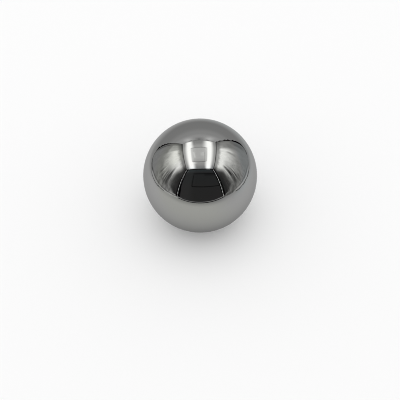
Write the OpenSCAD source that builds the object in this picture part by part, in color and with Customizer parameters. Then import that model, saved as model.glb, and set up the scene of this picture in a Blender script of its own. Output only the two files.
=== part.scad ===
// Steel ball
//
// One solid ball of hardened steel, ground and lapped round until it is a mirror.
// It is the same all the way through and has no seam, flat, hole or mark.
// The origin is the centre of the ball, so every line through it is an axis of symmetry.

/* [Ball] */
// Diameter over the finished surface; 63.5 is the two and a half inch size
ball_d = 63.5; // [20:0.05:150]

/* [Hidden] */
// Smoothness of the round surface on screen; the true surface is an exact sphere
$fn = 180;

// The ball itself, ground to one diameter in every direction
module ball() {
    color("silver")
        sphere(d = ball_d);
}

ball();
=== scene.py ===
import math

import bmesh
import bpy
import numpy as np
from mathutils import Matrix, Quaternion, Vector


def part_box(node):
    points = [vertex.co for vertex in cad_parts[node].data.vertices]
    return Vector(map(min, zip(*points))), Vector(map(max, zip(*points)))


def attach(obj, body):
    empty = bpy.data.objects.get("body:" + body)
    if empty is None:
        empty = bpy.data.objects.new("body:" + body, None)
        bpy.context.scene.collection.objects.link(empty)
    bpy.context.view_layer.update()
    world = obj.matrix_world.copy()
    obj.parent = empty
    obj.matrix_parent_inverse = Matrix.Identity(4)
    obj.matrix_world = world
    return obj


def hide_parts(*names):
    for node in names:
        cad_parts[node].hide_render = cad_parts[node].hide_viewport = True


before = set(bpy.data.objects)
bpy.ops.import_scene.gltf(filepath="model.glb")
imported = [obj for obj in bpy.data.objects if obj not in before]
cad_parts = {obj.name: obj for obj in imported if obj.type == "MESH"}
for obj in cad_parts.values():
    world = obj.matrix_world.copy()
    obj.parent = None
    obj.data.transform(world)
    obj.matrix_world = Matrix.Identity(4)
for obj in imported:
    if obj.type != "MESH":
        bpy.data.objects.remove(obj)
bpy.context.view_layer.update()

# The ball
# One solid ball of hardened chromium steel, forged, ground and lapped between plates until it
# is a mirror. It has no seam or flat. The lapping leaves a haze too faint to see from a step
# away, and a few hair lines that cross in every direction.

ball_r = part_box("ball")[1].z
patch_cuts = 64
steel_dark = (0.59, 0.59, 0.582, 1)
steel_light = (0.61, 0.61, 0.603, 1)
steel_edge = (0.82, 0.82, 0.82, 1)
haze_size = 0.014
haze_range = (0.35, 0.65)
clear_roughness, hazy_roughness = 0.012, 0.026
hair_line_width = 0.0002
hair_line_length = 0.009
hair_line_depth = 0.0000003
hair_line_peaks = (0.69, 0.77)
hair_line_roughness = 0.14
hair_line_tilts = ((0.3, 1.1, 0.2), (1.9, 0.4, 2.4), (2.6, 2.2, 1.2))


def blown_cube(name, radius, cuts):
    """Six square patches of a cube, cut evenly, blown out to one radius and joined at their edges."""
    even = [math.tan(math.pi / 4 * (2 * i / cuts - 1)) for i in range(cuts + 1)]
    shell = bmesh.new()
    for axis in range(3):
        for side in (-1, 1):
            rows = []
            for u in even:
                rows.append([])
                for v in even:
                    point = Vector()
                    point[axis] = side
                    point[(axis + 1) % 3] = u * side
                    point[(axis + 2) % 3] = v
                    rows[-1].append(shell.verts.new(point.normalized() * radius))
            for row, after in zip(rows, rows[1:]):
                for a, b, c, d in zip(row, after, after[1:], row[1:]):
                    shell.faces.new((a, b, c, d)).smooth = True
    bmesh.ops.remove_doubles(shell, verts=shell.verts, dist=radius * 1e-5)
    mesh = bpy.data.meshes.new(name)
    shell.to_mesh(mesh)
    shell.free()
    piece = bpy.data.objects.new(name, mesh)
    bpy.context.scene.collection.objects.link(piece)
    return piece


def new_material(name):
    """An empty node material."""
    material = bpy.data.materials.new(name)
    material.use_nodes = True
    material.node_tree.nodes.clear()
    return material


def add_node(material, kind, settings=None, **sockets):
    """A new node of a material. Each socket named takes a value, or a wire from another node."""
    node = material.node_tree.nodes.new(kind)
    for key, value in (settings or {}).items():
        setattr(node, key, value)
    for key, value in sockets.items():
        socket = node.inputs[key.replace("_", " ")]
        if isinstance(value, bpy.types.NodeSocket):
            material.node_tree.links.new(value, socket)
        else:
            socket.default_value = value
    return node


def eased(material, value, start, end, low=0.0, high=1.0):
    """A number that eases from low to high while value runs from start to end."""
    return add_node(
        material, "ShaderNodeMapRange", {"interpolation_type": "SMOOTHSTEP"},
        Value=value, From_Min=start, From_Max=end, To_Min=low, To_Max=high,
    ).outputs["Result"]


def worked_out(material, operation, a, b):
    """The sum, product or other result of two numbers."""
    node = add_node(material, "ShaderNodeMath", {"operation": operation})
    for socket, value in zip(node.inputs, (a, b)):
        if isinstance(value, bpy.types.NodeSocket):
            material.node_tree.links.new(value, socket)
        else:
            socket.default_value = value
    return node.outputs["Value"]


def hair_lines(material, place, tilt):
    """Lapping lines that run one way: noise drawn out along them, with only its peaks kept."""
    turned = add_node(material, "ShaderNodeMapping", Vector=place, Rotation=tilt)
    drawn = add_node(
        material, "ShaderNodeMapping", Vector=turned.outputs["Vector"],
        Scale=(1 / hair_line_width, 1 / hair_line_length, 1 / hair_line_length),
    )
    noise = add_node(material, "ShaderNodeTexNoise", Vector=drawn.outputs["Vector"], Scale=1, Detail=1)
    return eased(material, noise.outputs["Fac"], *hair_line_peaks)


def polished_steel():
    """Mirror steel: a clear reflection, a slow change of haze, and hair lines from the lapping."""
    material = new_material("polished_steel")
    place = add_node(material, "ShaderNodeTexCoord").outputs["Object"]
    haze = add_node(
        material, "ShaderNodeTexNoise", Vector=place, Scale=1 / haze_size, Detail=4, Roughness=0.6
    ).outputs["Fac"]
    colour = add_node(material, "ShaderNodeValToRGB", Fac=haze)
    colour.color_ramp.elements[0].color = steel_dark
    colour.color_ramp.elements[1].color = steel_light
    lines = hair_lines(material, place, hair_line_tilts[0])
    for tilt in hair_line_tilts[1:]:
        lines = worked_out(material, "MAXIMUM", lines, hair_lines(material, place, tilt))
    rough = worked_out(
        material, "ADD",
        eased(material, haze, *haze_range, clear_roughness, hazy_roughness),
        worked_out(material, "MULTIPLY", lines, hair_line_roughness),
    )
    scored = add_node(
        material, "ShaderNodeBump", {"invert": True},
        Height=lines, Distance=hair_line_depth, Strength=0.5,
    )
    steel = add_node(
        material, "ShaderNodeBsdfPrincipled", Metallic=1.0, Specular_Tint=steel_edge,
        Base_Color=colour.outputs["Color"], Roughness=rough, Normal=scored.outputs["Normal"],
    )
    add_node(material, "ShaderNodeOutputMaterial", Surface=steel.outputs["BSDF"])
    return material


ball = blown_cube("steel_ball", ball_r, patch_cuts)
ball.data.materials.append(polished_steel())
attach(ball, "root")
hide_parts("ball")

# The table top
# A plain pale top, matt and level, that the ball stands on. It runs far past the view, under
# an even soft light from all round and a wide soft lamp overhead. The ball mirrors neither.

top_side = 40.0
top_paint = (0.9, 0.9, 0.9, 1)
grains_per_metre = 900.0
grain_depth = 0.00005
sky_light = 0.975
lamp_light = 0.42
lamp_spread = math.radians(60)


def matt_paint():
    """The top's pale matt paint, with a grain too fine to see from a step away."""
    material = new_material("matt_paint")
    place = add_node(material, "ShaderNodeTexCoord").outputs["Object"]
    grain = add_node(material, "ShaderNodeTexNoise", Vector=place, Scale=grains_per_metre, Detail=3)
    bumps = add_node(
        material, "ShaderNodeBump",
        Height=grain.outputs["Fac"], Distance=grain_depth, Strength=0.2,
    )
    paint = add_node(
        material, "ShaderNodeBsdfDiffuse",
        Color=top_paint, Roughness=0.5, Normal=bumps.outputs["Normal"],
    )
    add_node(material, "ShaderNodeOutputMaterial", Surface=paint.outputs["BSDF"])
    return material


table_mesh = bpy.data.meshes.new("table_top")
table_mesh.from_pydata(
    [(x * top_side / 2, y * top_side / 2, -ball_r) for x, y in ((-1, -1), (1, -1), (1, 1), (-1, 1))],
    [], [(0, 1, 2, 3)],
)
table_mesh.materials.append(matt_paint())
table_top = bpy.data.objects.new("table_top", table_mesh)
bpy.context.scene.collection.objects.link(table_top)
table_top.visible_glossy = False

world = bpy.data.worlds.new("soft_sky")
world.use_nodes = True
sky = world.node_tree.nodes["Background"]
sky.inputs["Color"].default_value = (1, 1, 1, 1)
sky.inputs["Strength"].default_value = sky_light
bpy.context.scene.world = world
world.cycles_visibility.glossy = False

overhead = bpy.data.lights.new("overhead", "SUN")
overhead.energy = lamp_light
overhead.angle = lamp_spread
overhead_lamp = bpy.data.objects.new("overhead", overhead)
overhead_lamp.visible_glossy = False
bpy.context.scene.collection.objects.link(overhead_lamp)

# The light box
# A soft cube of silvered cloth on a hidden frame, open at the front, that the ball stands in.
# It is only there for the ball to mirror: its sheets glow with painted light and shade. It lights
# nothing else, and nothing else sees it.

# Its sizes are in millimetres. Heights run up from its floor, and depths back from its front.
# A tone is how bright the ball shows a place, from black, 0, to white, 1, and is the painted
# light and shade of the box. Cream is how far its colour leans to cream, or below 0 to a cool
# grey, and a full lean takes these shares of red, green and blue away. Crease shading, most where
# the cloth is slack, is how strongly the painted shade and light of its creases show.
mm_per_metre = 1000
box_left, box_right = -311, 301
box_front, box_back = -357, 297
box_floor, box_top = -ball_r * mm_per_metre, 561
box_width = box_right - box_left
box_depth = box_back - box_front
box_height = box_top - box_floor
screen_gamma = 2.2
cream_takes = (0.01, 0.0, 0.055)
cool_takes = (0.05, 0.0, -0.015)
crease_size = 0.026
crease_length = 3


def rise(x, start, end):
    """0 on start's side and 1 past end, eased between them. The end may be the lower one."""
    t = np.clip((x - start) / (end - start), 0, 1)
    return t * t * (3 - 2 * t)


def between(x, start, full, fading, end):
    """1 from full to fading, eased to 0 at start and at end."""
    return rise(x, start, full) * rise(x, end, fading)


def line(x, middle, width):
    """1 on the middle of a soft line and 0 beside it."""
    return np.exp(-((2 * (x - middle) / width) ** 2))


def toward(tone, target, share):
    """A tone moved a share of the way to another."""
    return tone + (target - tone) * share


def lit_cloth():
    """Cloth that glows with the painted tone kept in its mesh, and painted shading of upright creases
    where it is slack.
    """
    material = new_material("lit_cloth")
    place = add_node(material, "ShaderNodeTexCoord").outputs["Object"]
    glow = add_node(material, "ShaderNodeAttribute", {"attribute_name": "glow"})
    drawn = add_node(material, "ShaderNodeMapping", Vector=place, Scale=(1, 1, 1 / crease_length))
    crease_shade_noise = add_node(
        material, "ShaderNodeTexNoise",
        Vector=drawn.outputs["Vector"], Scale=1 / crease_size, Detail=5, Roughness=0.65, Distortion=0.8,
    ).outputs["Fac"]
    # The noise paints the creases' shade and light into the glow, as strongly as the crease shading
    # asks.
    change = worked_out(material, "SUBTRACT", crease_shade_noise, 0.5)
    crease_shading = worked_out(material, "MULTIPLY", change, glow.outputs["Alpha"])
    cloth_glow = add_node(
        material, "ShaderNodeEmission",
        Color=glow.outputs["Color"], Strength=worked_out(material, "ADD", crease_shading, 1.0),
    )
    add_node(material, "ShaderNodeOutputMaterial", Surface=cloth_glow.outputs["Emission"])
    return material


cloth = lit_cloth()


def sheet(name, form, columns, rows):
    """A sheet of the light box: for u and v from 0 to 1, form gives x, y, z, tone, cream and crease
    shading.
    """
    u, v = np.meshgrid(np.linspace(0, 1, columns + 1), np.linspace(0, 1, rows + 1))
    x, y, z, tone, cream, crease_shading = (np.broadcast_to(part, u.shape).ravel() for part in form(u, v))
    wide = columns + 1
    faces = [
        (i + j * wide, i + 1 + j * wide, i + 1 + (j + 1) * wide, i + (j + 1) * wide)
        for j in range(rows)
        for i in range(columns)
    ]
    mesh = bpy.data.meshes.new(name)
    mesh.from_pydata((np.column_stack((x, y, z)) / mm_per_metre).tolist(), [], faces)
    light = np.clip(tone, 0, 1)[:, None] ** screen_gamma / steel_light[0]
    light = light * (1 - np.clip(cream, 0, None)[:, None] * np.array(cream_takes))
    light = light * (1 + np.clip(cream, None, 0)[:, None] * np.array(cool_takes))
    glow = mesh.color_attributes.new("glow", "FLOAT_COLOR", "POINT")
    glow.data.foreach_set("color", np.column_stack((light, crease_shading)).ravel())
    mesh.materials.append(cloth)
    piece = bpy.data.objects.new(name, mesh)
    bpy.context.scene.collection.objects.link(piece)
    piece.visible_camera = False
    piece.visible_diffuse = False
    piece.visible_shadow = False


# The side walls
# Two sheets of silvered cloth that hang from the top rail. Each lamp throws a soft patch on the
# wall beside it, and the cloth by the open front stays in painted shade. The cloth is slack, so it
# gathers in upright folds low down, painted as streaks of shade and highlight, and its hem turns
# in at the floor.

cloth_tone = 0.455
shade_tone = 0.165
# The deepest painted shade: by the tape, behind the sheet, beside its edges and in front of it.
deep_shade_tone = 0.05
crease_shade_tone = 0.24
hem_tone = 0.6
lost_hem_tone = 0.1
rail_tone = 0.15
rail_near, rail_full = 12, 4
shade_reach = 173
crease_height, crease_width = 17, 9
hem_height, lost_hem_height = 10, 14
hem_turn_in = 18
hang_top_y, hang_foot_y = 288, 270
hang_skew = 16
sweep_r = 100


def sheet_y(x, height):
    """How far back the white sheet hangs. Its sweep at the foot is round, and squarer at the right."""
    lean = (hang_top_y - hang_foot_y) * np.clip((height - sweep_r) / (box_height - sweep_r), 0, 1)
    curve = np.clip(1 - height / sweep_r, 0, 1)
    skew = hang_skew * (x - box_left) / box_width - hang_skew / 2
    tightness = 2 + 1.5 * rise(x, 120, 290)
    return hang_foot_y + lean + skew - sweep_r * (1 - (1 - curve**tightness) ** (1 / tightness))


def bare_cloth(depth, height, upper_tone, upper_fade, back_glow, sag_shade):
    """The tone of a wall with no folds: even low down, and dimmer along the back and the rail."""
    low_tone = cloth_tone - 0.07 * rise(depth, 340, 250) * rise(height, 30, 80)
    high_tone = upper_tone - upper_fade * rise(depth, 420, 600) - 0.05 * rise(height, 540, 580)
    tone = toward(low_tone, high_tone, rise(height, 400, 480))
    # At the back a faint glow lies over a slant, and the corner past it is dim.
    above_slant = height - 0.8 * (depth - 500)
    tone += back_glow * rise(depth, 605, 560) * rise(above_slant, 235, 290) * rise(height, 520, 420)
    tone -= 0.05 * rise(depth, 560, 605)
    # A pale streak of painted light runs under the rail, and where it ends the cloth sags from the
    # rail in a dark streak of painted shade.
    tone += 0.06 * between(depth, 230, 320, 380, 480) * line(height, 520, 50)
    return tone - sag_shade * line(height, 549, 30) * rise(depth, 420, 480)


def lamp_patch(depth, height, foot, top, back):
    """1 in the soft patch that a lamp throws on its wall, and 0 past its foot, top and back.

    Each of the three is where the patch starts and where it is full. The top is uneven.
    """
    uneven = 8 * np.sin(depth / 15) + 5 * np.sin(depth / 6 + 1)
    return rise(depth, *back) * rise(height, *foot) * rise(height + uneven, *top)


def fold_light_and_shade(depth, height, foot, low, high, width, change, lean=0):
    """How far an upright fold changes the tone at a place: painted shade where its change is below 0, a
    painted highlight where above. It is soft at its sides and ends.
    """
    ends = between(height, low - 20, low + 40, high - 50, high + 30)
    return change * line(depth, foot + lean * height, width) * ends


def shaded_front(tone, depth, height, drop, drop_heights, margin):
    """The tone with the shade by the open front over it, darkest in the margin along the tape."""
    # The shade reaches less far toward the floor, and again toward the rail.
    reach = shade_reach - drop * rise(height, *drop_heights)
    reach -= 85 * rise(height, 110, 25) + 110 * rise(height, 44, 20)
    reach -= 50 * rise(height, 520, 600)
    # Its edge is softer high up.
    soft = 36 + 24 * rise(height, 250, 430)
    shade = shade_tone + 0.06 * rise(depth, 60, 150) + 0.04 * rise(height, 280, 400)
    tone = toward(shade, tone, rise(depth, reach - soft, reach + 1.35 * soft))
    return toward(tone, deep_shade_tone, 0.9 * rise(depth, *margin) * rise(height, 8, 22))


def hemmed(tone, depth, height, crease_shade, front_tone, lost):
    """The tone with the hem along its foot: a crease in painted shade, and a pale edge that is lost far
    back, where the foot is dark.
    """
    near = rise(depth, 480, 420)
    # The crease along the hem is a line of painted shade.
    tone = toward(tone, crease_shade_tone, crease_shade * near * line(height, crease_height, crease_width))
    edge_tone = toward(hem_tone, front_tone, rise(depth, 200, 165))
    tone = toward(tone, edge_tone, 0.85 * near * rise(height, hem_height, hem_height - 4))
    low = rise(height, lost_hem_height, lost_hem_height - 5)
    return toward(tone, lost_hem_tone, 0.8 * rise(depth, *lost) * low)


def side_wall(name, x, bare, patch_tone, patch, folds_light_and_shade, shade, hem, rail_shade, cream):
    """One wall, from the open front to the back and from the floor to the top rail."""

    def form(u, v):
        depth = u * box_depth
        height = v * box_height
        tone = bare_cloth(depth, height, **bare)
        tone = toward(tone, patch_tone, lamp_patch(depth, height, **patch))
        # The folds add their painted shade and highlights to the tone.
        for row in folds_light_and_shade:
            tone = tone + fold_light_and_shade(depth, height, *row)
        tone = shaded_front(tone, depth, height, **shade)
        tone = hemmed(tone, depth, height, **hem)
        by_rail = rise(box_height - height, rail_near, rail_full)
        tone = toward(tone, rail_tone, rail_shade * by_rail)
        # Behind the white sheet the wall lies in painted shade.
        behind = sheet_y(x, height) - box_front - 8
        tone = toward(tone, deep_shade_tone, rise(depth, behind, behind + 3))
        # Its painted crease shading is strongest low down, where it is slackest, and its hem turns in,
        # but neither at the back.
        crease_shading = 0.5 + 1.5 * rise(height, 260, 170) * rise(depth, 420, 320)
        turn_in = hem_turn_in * np.sign(-x) * rise(height, 8, 0) * rise(depth, 470, 420)
        return x + turn_in, box_front + depth, box_floor + height, tone, cream(depth, height), crease_shading

    sheet(name, form, columns=330, rows=300)


def left_cream(depth, height):
    """The left wall's cast: cream, most of all past its middle, and cool low down at the back."""
    return 0.4 + 0.6 * rise(depth, 230, 330) - 1.2 * rise(depth - height, 280, 440)


def right_cream(depth, height):
    """The right wall's cast: cream, and cool low down at the back."""
    return 0.5 - 1.4 * rise(depth - height, 240, 330) * rise(height, 220, 120)


# The folds run from the front to the back, painted as streaks of shade and highlight. Each is the
# depth of its foot, its lowest and highest point, its width, its change of tone, painted shade
# below 0 and painted highlight above, and, where it leans, its lean.
side_wall(
    "left_wall", box_left,
    bare=dict(upper_tone=0.5, upper_fade=0.09, back_glow=0.12, sag_shade=0.08),
    patch_tone=0.855,
    patch=dict(foot=(130, 370), top=(516, 396), back=(497, 465)),
    folds_light_and_shade=[
        (166, 26, 60, 100, -0.34),
        (208, 120, 290, 10, 0.13),
        (212, 36, 110, 40, -0.1),
        (222, 60, 220, 14, -0.06),
        (236, 170, 310, 21, -0.17),
        (238, 60, 310, 24, -0.13),
        (244, 300, 380, 30, -0.07),
        (250, 62, 250, 130, -0.11),
        (253, 170, 230, 8, 0.1),
        (264, 70, 240, 10, -0.12),
        (276, 80, 220, 8, 0.12, -0.02),
        (290, 80, 200, 11, -0.14, -0.05),
        (303, 80, 180, 8, 0.13, -0.04),
        (318, 78, 150, 11, -0.14, -0.07),
        (325, 30, 80, 60, 0.04),
        (333, 110, 200, 8, 0.1, -0.03),
        (350, 535, 580, 60, -0.05, 0.02),
        (352, 90, 190, 10, -0.12, -0.05),
        (392, 170, 240, 12, -0.06, -0.03),
        (415, 430, 520, 60, -0.04),
        (421, 195, 275, 30, -0.1),
        (434, 430, 480, 44, -0.12),
        (452, 205, 330, 44, -0.1),
        (507, 240, 480, 40, 0.05),
        (595, 70, 290, 10, -0.16),
    ],
    shade=dict(drop=47, drop_heights=(250, 470), margin=(54, 32)),
    hem=dict(crease_shade=0.7, front_tone=0.6, lost=(430, 470)),
    rail_shade=0.7,
    cream=left_cream,
)
side_wall(
    "right_wall", box_right,
    bare=dict(upper_tone=0.57, upper_fade=0.14, back_glow=0.04, sag_shade=0),
    patch_tone=0.875,
    patch=dict(foot=(80, 390), top=(512, 425), back=(528, 461)),
    folds_light_and_shade=[
        (100, -40, 34, 130, -0.24),
        (132, 370, 430, 34, -0.12),
        (166, -40, 24, 40, -0.28),
        (180, 200, 300, 24, 0.15),
        (190, 26, 60, 110, -0.34),
        (208, 160, 290, 10, 0.12),
        (215, 495, 520, 150, 0.06),
        (221, 100, 330, 14, -0.13),
        (234, 160, 340, 21, -0.25),
        (238, 60, 330, 27, -0.18),
        (249, 60, 110, 22, -0.1),
        (256, 120, 230, 14, -0.05),
        (264, 80, 215, 7, 0.24),
        (268, 80, 320, 20, -0.1),
        (275, 80, 210, 9, -0.17),
        (289, 130, 205, 7, 0.14),
        (292, 140, 190, 18, -0.06),
        (296, 250, 350, 60, -0.06),
        (300, 160, 240, 18, -0.07),
        (405, 180, 320, 22, -0.1, 0.12),
        (438, 190, 320, 20, 0.07, 0.07),
        (440, 230, 330, 34, -0.07),
        (440, 470, 560, 90, -0.03),
        (441, 350, 480, 24, -0.05),
        (451, 180, 240, 30, -0.06),
        (527, 375, 475, 34, 0.1),
        (574, 50, 200, 44, -0.07),
        (597, 230, 490, 44, 0.08),
    ],
    shade=dict(drop=92, drop_heights=(270, 500), margin=(48, 25)),
    hem=dict(crease_shade=0.42, front_tone=0.34, lost=(545, 585)),
    rail_shade=1,
    cream=right_cream,
)

# The binding tapes
# A white tape binds the edge of the cloth down each side of the open front. It is tacked at
# even steps, and is brightest where it stands out between two tacks.

tape_bright, tape_dim = 0.65, 0.36
tape_width = 12
tape_foot = 14


def binding_tape(name, near, far, tack_gap, first_out):
    """A narrow strip from its foot to the top rail, whose edges stand at two spots on the floor."""

    def form(u, v):
        height = tape_foot + v * (box_height - tape_foot)
        standing_out = 0.5 + 0.5 * np.cos(2 * math.pi * (height - first_out) / tack_gap)
        tone = toward(tape_dim, tape_bright + 0.1 * rise(height, 150, 400), standing_out)
        x = near[0] + u * (far[0] - near[0])
        y = near[1] + u * (far[1] - near[1])
        return x, y, box_floor + height, tone, 0.0, 0.0

    sheet(name, form, columns=2, rows=320)


binding_tape(
    "left_tape",
    near=(box_left + 2, box_front + 7), far=(box_left + 2, box_front + 7 + tape_width),
    tack_gap=58.3, first_out=15,
)
binding_tape(
    "right_tape",
    near=(box_right - 16, box_front + 2), far=(box_right - 16 + tape_width, box_front + 2),
    tack_gap=53.6, first_out=30,
)

# The ceiling
# A stretched cloth panel with two broad lamp strips behind diffusers, which run from front to
# back, and between them a square flap that lifts for a look from above.

flap_left, flap_right = -151, 100
flap_front, flap_back = -182, 103
left_lamp_outer, left_lamp_inner = -290, -84
left_core_outer, left_core_inner = -196, -158
right_lamp_outer, right_lamp_inner = 270, 64
right_core_outer, right_core_inner = 184, 146
panel_tone = 0.5
side_panel_tone = 0.585
lamp_tone = 0.995
spill_tone = 0.85
seam_tone = 0.22
front_rail_tone = 0.11


def past_flap(x, y):
    """How far a place lies in front of the flap's front edge or behind its back edge. Both bow."""
    bow = 10 * ((x + 20) / 130) ** 2
    return np.maximum(flap_front + bow - y, y - flap_back - 0.5 * bow)


def between_lamps(x, y, on_flap):
    """The tone of the panel and the flap between the lamps, with the spill beside the left one."""
    # The panel is dimmer at the back, and toward the front rail.
    tone = panel_tone + 0.09 * rise(y, 225, 140) - 0.05 * rise(y, 255, 290)
    tone -= 0.035 * rise(y, -190, -215) + 0.09 * rise(y, -215, -320)
    # The flap is paler, most of all to both sides of its middle, and has two paler patches.
    tone += on_flap * (0.06 + 0.03 * rise(np.abs(x + 8), 40, 90) - 0.05 * rise(y, -95, -165))
    tone += 0.08 * line(x, -99 - 0.15 * (y + 20), 32) * between(y, -110, -80, 5, 35)
    tone += 0.05 * between(x, -5, 35, 60, 82) * between(y, -85, -40, -5, 25)
    # The left lamp spills over the panel along the flap's front edge.
    spill = line(y, -199, 38) * rise(x, -20, -120)
    return toward(tone, spill_tone, 0.75 * spill)


def left_lamp(x, y, on_flap):
    """How fully the left strip glows: soft at both sides, and dimmer where the flap covers it."""
    outer = left_lamp_outer + 14 * rise(np.abs(y), 60, 250)
    inner = left_lamp_inner + 14 * rise(y, 190, 110)
    inner += 8 * rise(y, -225, -250) - 8 * rise(y, 220, 250)
    through_flap = 0.3 * rise(x, -98, -140) + 0.7 * rise(x, -133, -166)
    bare = rise(x, inner, left_core_inner)
    return rise(x, outer, left_core_outer) * toward(bare, through_flap, on_flap)


def right_lamp(x, y, on_flap):
    """How fully the right strip glows: soft at both sides, and dimmer where the flap covers it."""
    outer = right_lamp_outer - 8 * rise(np.abs(y), 60, 250)
    inner = right_lamp_inner - 44 * rise(y, 60, 120)
    inner += 8 * rise(y, -260, -300) + 12 * rise(y, 200, 250)
    through_flap = (0.22 + 0.1 * rise(y, -60, 60)) * rise(x, 84, 112) + 0.7 * rise(x, 115, 140)
    bare = rise(x, inner, right_core_inner)
    return rise(x, outer, right_core_outer) * toward(bare, through_flap, on_flap)


def ceiling(u, v):
    """The panel, its lamps, its flap, the seams, and the dark rails along its front and sides."""
    x = box_left + u * box_width
    y = box_front + v * box_depth
    beyond = past_flap(x, y)
    on_flap = between(x, flap_left - 20, flap_left, flap_right + 20, flap_right + 40)
    on_flap *= rise(beyond, 6, -2)
    beside_lamps = side_panel_tone - 0.1 * rise(y, -200, -300) - 0.05 * rise(y, 130, 230)
    in_middle = between(x, -170, -120, 100, 150)
    tone = toward(beside_lamps, between_lamps(x, y, on_flap), in_middle)
    over_right = between(x, 105, 145, 190, 225)
    ends = between(y, -350 - 8 * over_right, -304 - 8 * over_right, 256, 290)
    lamps = left_lamp(x, y, on_flap) + right_lamp(x, y, on_flap)
    tone = toward(tone, lamp_tone, lamps * ends)
    # The seams run along the flap's right side and across its front and back edges.
    side_seam = 0.35 * line(x, 80, 10) * rise(y, 20, -10) * rise(beyond, 0, -8)
    cross_seam = (0.75 + 0.45 * rise(y, 0, -50)) * line(beyond, 0, 15)
    cross_seam *= between(x, flap_left, flap_left + 20, flap_right - 6, flap_right + 6)
    tone = toward(tone, seam_tone, 0.42 * np.maximum(side_seam, cross_seam))
    # The front rail is paler by the right lamp, and the right rail widens toward the front.
    tone = toward(tone, front_rail_tone, rise(y, -330, -339) * (1 - 0.6 * over_right))
    left_rail = 0.8 * rise(x - box_left, rail_near, rail_full)
    right_rail = rise(box_right - x, rail_near + 10 * rise(y, -240, -300), rail_full + 1)
    tone = toward(tone, rail_tone, left_rail + right_rail)
    cream = 0.3 - 0.8 * rise(y, -200, -330)
    return x, y, box_top, tone, cream, 0.06


sheet("ceiling", ceiling, columns=240, rows=260)

# The white sheet
# One long strip of matt white plastic that is clipped to the back of the frame, hangs down,
# sweeps forward in an easy curve and lies over the floor almost to the open front. It is a
# little narrower than the box, and its edges bow, so a gap in painted shade shows beside it here
# and there.

sheet_front = -311
hanging_tone, lying_tone = 0.452, 0.555
top_edge_tone = 0.2
clip_tone = 0.1
ball_blocks = 0.9
# Each bow is the height of its middle and how tall it is, and each clip is where it bites,
# across the box, and how wide it is.
left_bows = [(262, 60), (210, 40), (158, 34), (118, 30), (76, 34)]
right_bows = [(540, 60), (437, 76), (305, 60), (240, 40), (158, 44), (112, 44), (76, 40), (40, 40)]
clips = [(-147, 48), (131, 40)]


def left_floor_gap(y):
    """How far the sheet's edge stays clear of the left wall, on the floor."""
    return 4 + (72 - 28 * rise(y, -25, -60)) * between(y, -150, -90, 60, 150)


def right_floor_gap(y):
    """How far the sheet's edge stays clear of the right wall, on the floor."""
    in_corner = 14 * rise(y, 150, 200)
    waves = 9 * np.cos((y - 20) / 9)
    return 4 + in_corner + (69 + waves) * between(y, -178, -112, 60, 150)


def bowed(height, bows):
    """How far the sheet's hanging edge bows in, from 0 to 1, at the heights of its bows."""
    return np.clip(sum(line(height, middle, width) for middle, width in bows), 0, 1)


def hung_tone(x, height):
    """The tone of the part that hangs. Both lamps light it, and it is dimmer between them."""
    by_lamps = line(np.abs(x + 8), 156, 130) * rise(height, 350, 500)
    tone = hanging_tone + 0.05 * rise(height, 180, 300) + 0.035 * rise(height, 320, 400)
    tone += 0.13 * by_lamps
    tone -= 0.07 * line(x, 0, 140) * rise(height, 430, 520)
    return tone - 0.05 * line(x, -5, 26) * rise(height, 490, 530)


def laid_tone(x, y):
    """The tone of the part that lies on the floor, brightest round the ball."""
    tone = lying_tone + 0.045 * rise(np.hypot(x, y), 270, 150) - 0.055 * rise(y, -120, -300)
    tone -= 0.06 * rise(np.abs(x), 110, 250) * rise(y, 10, 90)
    return tone - 0.03 * rise(x, 20, 120) * rise(y, 0, -120)


def laid_cream(x, y):
    """The cast of the part that lies on the floor: cream in front, and cool along its right side."""
    cream_end = 90 + 110 * rise(y, -70, -130)
    cream = 0.9 * rise(y, -5, -75) * rise(x, cream_end, 10)
    cream -= 0.5 * rise(y, 40, 120) * rise(x, -20, 60)
    return cream - 0.6 * rise(x, 90, 180) * between(y, -120, -80, 40, 80)


def light_past_ball(x, y):
    """The share of the light that still reaches the floor near the ball, which stands in its way."""
    spread = 1 + (x * x + y * y) / box_floor**2
    return 1 - ball_blocks / spread**1.5


def white_sheet(u, v):
    """The sheet from its clips at the top, through the sweep, to its front edge."""
    hang = box_height - sweep_r
    arc = math.pi / 2 * sweep_r
    flat = hang_foot_y - sweep_r - sheet_front
    # How far along the sheet a place is says how high it hangs and how far forward it lies.
    run = v * (hang + arc + flat)
    turn = np.clip((run - hang) / sweep_r, 0, math.pi / 2)
    height = box_height - np.clip(run, 0, hang) - sweep_r * np.sin(turn)
    laid_run = np.clip(run - hang - arc, 0, None)
    # Both edges follow the bows where the sheet hangs, and the gaps where it lies on the floor.
    upright = rise(height, 0, 50)
    edge_y = hang_foot_y - sweep_r - laid_run
    left_gap = 3 + (4 + 21 * rise(height, 290, 150)) * bowed(height, left_bows)
    left = box_left + toward(left_floor_gap(edge_y), left_gap, upright)
    right_gap = 3 + 5 * rise(height, 560, 100) + 18 * bowed(height, right_bows)
    right = box_right - toward(right_floor_gap(edge_y), right_gap, upright)
    x = left + u * (right - left)
    y = sheet_y(x, height) - laid_run
    # The tone passes from one part to the other in the sweep.
    tone = toward(hung_tone(x, height), laid_tone(x, y), rise(height, 80, 0))
    tone = tone * np.where(height < sweep_r, light_past_ball(x, y) ** (1 / screen_gamma), 1)
    below_rail = box_height - height
    tone = toward(tone, top_edge_tone, 0.5 * rise(below_rail, 16, 4))
    for middle, width in clips:
        in_clip = line(x, middle, width) * rise(below_rail, 42, 24)
        tone = toward(tone, clip_tone, 0.9 * in_clip)
    cream = laid_cream(x, y) * rise(height, 60, 0)
    return x, y, box_floor + height, tone, cream, 0.0


sheet("white_sheet", white_sheet, columns=220, rows=420)

# The box floor
# The bottom of the box, of the same silvered cloth as its walls. The white sheet covers nearly
# all of it, and it shows only beside the sheet's edges and in front of them.

floor_cloth_tone = 0.51


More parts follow.
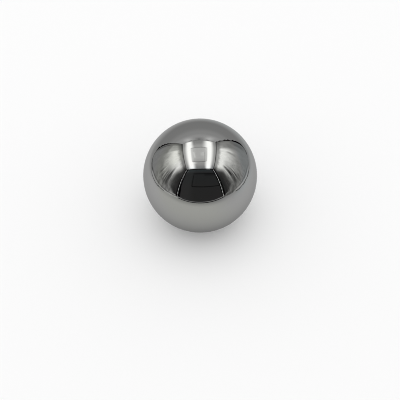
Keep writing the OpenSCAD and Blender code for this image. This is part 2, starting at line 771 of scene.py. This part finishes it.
def box_bottom(u, v):
    """The floor just under the sheet, pale along the walls and in painted shadow beside the sheet's
    edges.
    """
    x = box_left + u * box_width
    y = box_front + v * box_depth
    # It is dimmer at the back, and on the right also toward the front.
    to_right = rise(x, 0, 200)
    tone = floor_cloth_tone - 0.08 * rise(y, 60, 120) + 0.03 * rise(y, -220, -280) * rise(x, 0, -200)
    tone += to_right * (0.04 * rise(y, 60, 120) - 0.15 * rise(y, 200, 230))
    tone += 0.04 * to_right * between(y, -115, -75, 20, 60)
    tone -= 0.04 * to_right * rise(y, -75, -115)
    # Beside the middle of the sheet its edge stands off the floor and casts a painted shadow line.
    past_left = x - box_left - left_floor_gap(y) + 10 * rise(y, -25, -60)
    past_right = box_right - x - right_floor_gap(y) + 5
    past_edge = np.where(x < 0, past_left, past_right)
    dark_from = np.where(x < 0, -140, -165)
    edge_shadow = rise(past_edge, -26, -21) * between(y, dark_from, dark_from + 40, 50, 90)
    tone = toward(tone, deep_shade_tone, edge_shadow)
    # In front of the sheet the floor falls into the shade of the lip.
    tone = toward(tone, deep_shade_tone, rise(y, sheet_front + 30, sheet_front + 20))
    return x, y, box_floor - 1, tone, 0.0, 0.0


sheet("box_bottom", box_bottom, columns=306, rows=200)

# The open front
# The box has no front wall, only a low lip of cloth that keeps the sheet in. Past it is a plain
# unlit room with a dark panel, and nothing stands in it.

lip_height = 13
lip_tone = 0.44
jamb_tone = 0.03
room_tone = 0.16
panel_left = -116
panel_foot, panel_top = 204, 455


def room_beyond(x, height):
    """The tone of the room, with the lines round the panel and the dark beside the opening."""
    tone = room_tone + 0.02 * rise(x, -60, -180) + 0.03 * rise(height, 460, 545)
    above_foot = rise(height, panel_foot, panel_foot + 10)
    in_panel = rise(x, panel_left - 6, panel_left + 6) * above_foot
    foot_line = line(height, panel_foot - 0.03 * x, 12)
    tone -= 0.05 * line(height, panel_top, 30) * rise(x, panel_left - 30, panel_left)
    tone -= 0.08 * foot_line * rise(x, panel_left - 8, panel_left + 8)
    tone -= 0.06 * line(x, panel_left, 16) * above_foot * rise(height, 440, 400)
    tone -= 0.03 * in_panel * line(height, 425, 60) * rise(x, 40, 90)
    from_left = x - box_left - 12 * rise(height, 180, 120)
    from_right = box_right - 10 - x + 7 * rise(height, 260, 180)
    return toward(tone, jamb_tone, rise(np.minimum(from_left, from_right), 36, 18))


def open_front(u, v):
    """The lip, and a flat stand-in for the dark beyond the opening."""
    x = box_left + u * box_width
    height = v * box_height
    # The lip stands higher toward both corners.
    lip_top = lip_height + 9 * rise(x, -200, -270) + 4 * rise(x, 160, 210)
    on_lip = between(height, 2, 5, lip_top - 3, lip_top)
    tone = toward(room_beyond(x, height), lip_tone, on_lip)
    cream = -0.9 * rise(height, 200, 300) - 2.2 * rise(height, 480, 560)
    return x, box_front, box_floor + height, tone, cream, 0.0


sheet("open_front", open_front, columns=150, rows=300)

# The camera
# It looks down at the ball at the photograph's angle, from seven and a third ball radii away.
# Its lens and its aim give the ball the photograph's size and place in the picture.

picture_px = 400
ball_middle_px = (200.12, 175.97)
ball_radius_px = 56.87
camera_height_angle = math.radians(45.64)
camera_side_angle = math.radians(-1.15)
camera_roll = math.radians(-0.75)
camera_distance = 7.33 * ball_r

lens = bpy.data.cameras.new("camera")
camera = bpy.data.objects.new("camera", lens)
bpy.context.scene.collection.objects.link(camera)
bpy.context.scene.camera = camera
away = Vector((
    math.sin(camera_side_angle) * math.cos(camera_height_angle),
    -math.cos(camera_side_angle) * math.cos(camera_height_angle),
    math.sin(camera_height_angle),
))
focus_px = ball_radius_px / math.tan(math.asin(ball_r / camera_distance))
off_right = math.atan((ball_middle_px[0] - picture_px / 2) / focus_px)
off_up = math.atan((picture_px / 2 - ball_middle_px[1]) / focus_px)
lens.sensor_width = 36
lens.lens = lens.sensor_width * focus_px / picture_px
camera.location = away * camera_distance
camera.rotation_mode = "QUATERNION"
camera.rotation_quaternion = (
    (-away).to_track_quat("-Z", "Y")
    @ Quaternion((0, 0, 1), camera_roll)
    @ Quaternion((1, 0, 0), -off_up)
    @ Quaternion((0, 1, 0), off_right)
)

bpy.context.scene.view_settings.view_transform = "Standard"
bpy.context.scene.cycles.filter_width = 1.05
